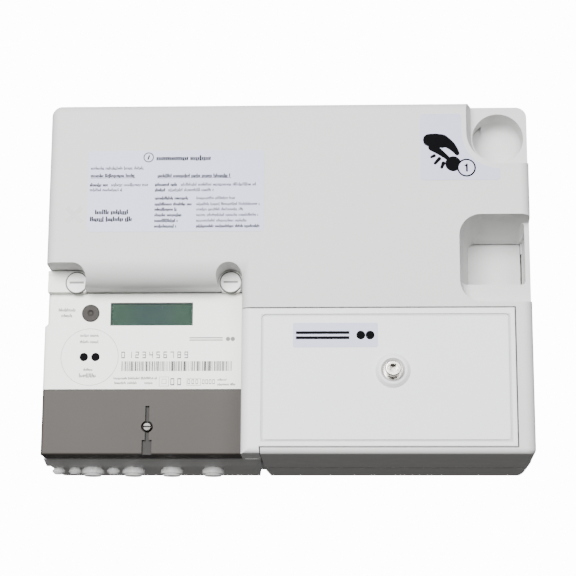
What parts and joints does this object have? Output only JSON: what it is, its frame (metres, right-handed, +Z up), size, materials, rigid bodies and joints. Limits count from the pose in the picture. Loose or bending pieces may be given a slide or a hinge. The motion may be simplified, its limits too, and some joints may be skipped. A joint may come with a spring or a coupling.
{
  "type": "prepaid electricity meter",
  "caption": "Wall-mounted coin electricity meter: two-part case, coin dish and return flap, locked pull-out cash box, meter with display, button and sealed terminal cover",
  "frame": {"origin": "centre of the flat back face that lies on the wall", "axes": "+X right and +Z up as seen from the front; the front faces -Y and the wall is the plane Y = 0"},
  "size_m": [0.272, 0.0915, 0.2025],
  "materials": {
    "case_grey": "fine moulded texture",
    "door_grey": "fine moulded texture",
    "meter_white": "smooth moulded",
    "cap_white": "smooth moulded",
    "plate_white": "printed film",
    "terminal_taupe": "moulded",
    "black_moulding": "moulded",
    "button_rubber": "soft",
    "window_clear": "clear moulding",
    "lcd_green": "liquid crystal panel",
    "board_green": "solder mask",
    "label_white": "printed sticker",
    "zinc_steel": "zinc plated",
    "nickel": "nickel plated",
    "terminal_brass": "machined",
    "coil_copper": "enamelled copper wire",
    "chute_natural": "natural acetal",
    "lid_clear": "moulded",
    "lamp_lens": "translucent",
    "lamp_red": "lamp body",
    "smoked": "smoked"
  },
  "bodies": {
    "case": {"rear_tray": "case_grey", "front_cover": "case_grey", "meter_cover": "meter_white", "meter_base": "meter_white", "cable_plugs_large": "cap_white", "cable_plugs_small": "cap_white", "meter_plate": "plate_white", "terminal_cover": "terminal_taupe", "terminal_block": "black_moulding", "load_contactor": "black_moulding", "board_relay": "black_moulding", "button_switch": "black_moulding", "supply_capacitor": "black_moulding", "board_capacitors": "black_moulding", "display_window": "window_clear", "lcd_panel": "lcd_green", "control_board": "board_green", "meter_board": "board_green", "lamp_board": "board_green", "info_label": "label_white", "coin_label": "label_white", "cover_screws": "zinc_steel", "gate_pin": "zinc_steel", "flap_pin": "zinc_steel", "solenoid_frame": "zinc_steel", "chute_bracket": "zinc_steel", "chute_screws": "zinc_steel", "board_screws": "zinc_steel", "terminal_screws": "zinc_steel", "transformer_core": "zinc_steel", "terminal_cover_screw": "nickel", "terminal_clamps": "terminal_brass", "current_shunt": "terminal_brass", "coin_sensor_coils": "coil_copper", "solenoid_coil": "coil_copper", "transformer_coil": "coil_copper", "coin_chute_body": "chute_natural", "return_pocket": "chute_natural", "return_ramp": "chute_natural", "board_connector": "chute_natural", "lcd_connectors": "chute_natural", "coin_chute_lid": "lid_clear", "supply_lamp_lens": "lamp_lens", "supply_lamp_led": "lamp_red", "optical_diodes": "smoked"},
    "cash_box": {"cash_box_front": "door_grey", "cash_tray": "zinc_steel", "lock_bush": "nickel", "lock_nut": "zinc_steel", "badge_label": "label_white"},
    "lock_turner": {"lock_stud": "nickel", "lock_arm": "zinc_steel", "lock_arm_screw": "zinc_steel"},
    "flap": {"return_flap": "case_grey"},
    "button": {"display_button": "button_rubber"},
    "seal_left": {"seal_screw_left": "cap_white"},
    "seal_right": {"seal_screw_right": "cap_white"},
    "gate": {"reject_gate": "chute_natural"},
    "plunger": {"solenoid_plunger": "zinc_steel"}
  },
  "joints": [
    {"name": "cash_box_slide", "type": "slide", "parent": "case", "child": "cash_box", "axis": [0, -1, 0], "range_m": [0, 0.095]},
    {"name": "lock_turn", "type": "hinge", "parent": "cash_box", "child": "lock_turner", "pos_m": [0.0581, -0.07, -0.0531], "axis": [0, -1, 0], "range_deg": [0, 90]},
    {"name": "return_flap_hinge", "type": "hinge", "parent": "case", "child": "flap", "pos_m": [0.1163, -0.04125, 0.0248], "axis": [1, 0, 0], "range_deg": [0, 50], "stiffness_Nm_per_rad": 0.002, "springref_deg": -17.19},
    {"name": "display_button_press", "type": "slide", "parent": "case", "child": "button", "axis": [0, 1, 0], "range_m": [0, 0.0012], "stiffness_N_per_m": 400, "springref_m": -0.0005},
    {"name": "seal_screw_left_turn", "type": "hinge", "parent": "case", "child": "seal_left", "pos_m": [-0.1171, -0.06, 0.0003], "axis": [0, -1, 0], "range_deg": [0, 90]},
    {"name": "seal_screw_right_turn", "type": "hinge", "parent": "case", "child": "seal_right", "pos_m": [-0.0311, -0.06, 0.0003], "axis": [0, -1, 0], "range_deg": [0, 90]},
    {"name": "reject_gate_tilt", "type": "hinge", "parent": "case", "child": "gate", "pos_m": [0.0786, -0.0516, 0.0236], "axis": [1, 0, 0], "range_deg": [0, 16]},
    {"name": "solenoid_plunger_slide", "type": "slide", "parent": "case", "child": "plunger", "axis": [0, -1, 0], "range_m": [0, 0.0026], "stiffness_N_per_m": 23, "springref_m": -0.0019}
  ],
  "couplings": [
    {"joint": "reject_gate_tilt", "follows": "solenoid_plunger_slide", "rad_per_m": 107.4}
  ]
}
